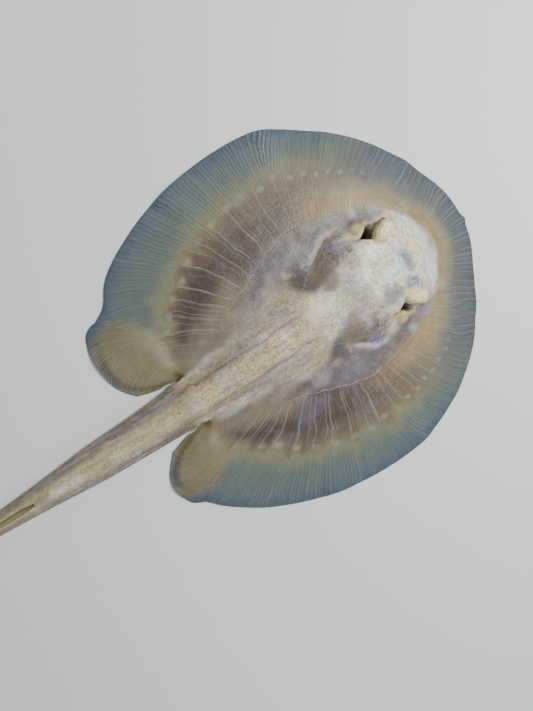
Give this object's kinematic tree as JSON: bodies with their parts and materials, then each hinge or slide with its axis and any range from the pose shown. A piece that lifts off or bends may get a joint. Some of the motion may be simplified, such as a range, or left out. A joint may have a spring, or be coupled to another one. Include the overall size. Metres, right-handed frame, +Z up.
{
  "type": "freshwater stingray",
  "caption": "Life-size freshwater stingray lying flat: round disc, raised eyes and spiracles, plump pelvic fins and a thick tapering tail with a sting.",
  "frame": {"origin": "on the flat of the belly under the middle of the trunk, on the surface that the animal lies on", "axes": "+Y towards the tip of the tail, -Y towards the snout, +X to the animal's left, +Z up"},
  "size_m": [0.36, 0.6948, 0.0376],
  "materials": {
    "skin": "damp satin skin, cream to olive beige with fine brown speckles",
    "fin_skin": "damp satin skin, brown muscle zone, grey green and then blue grey towards the rim, with fine radial rays",
    "spine": "matt ivory tooth material",
    "eye": "wet glossy eye"
  },
  "bodies": {
    "root": {"head": "skin", "trunk": "skin", "snout": "fin_skin", "pectoral_fin_left": "fin_skin", "pectoral_fin_right": "fin_skin", "pelvic_fin_left": "skin", "pelvic_fin_right": "skin", "tail_base": "skin", "tail_middle": "skin", "tail_tip": "skin", "sting": "spine", "eye_left": "eye", "eye_right": "eye"}
  },
  "joints": []
}
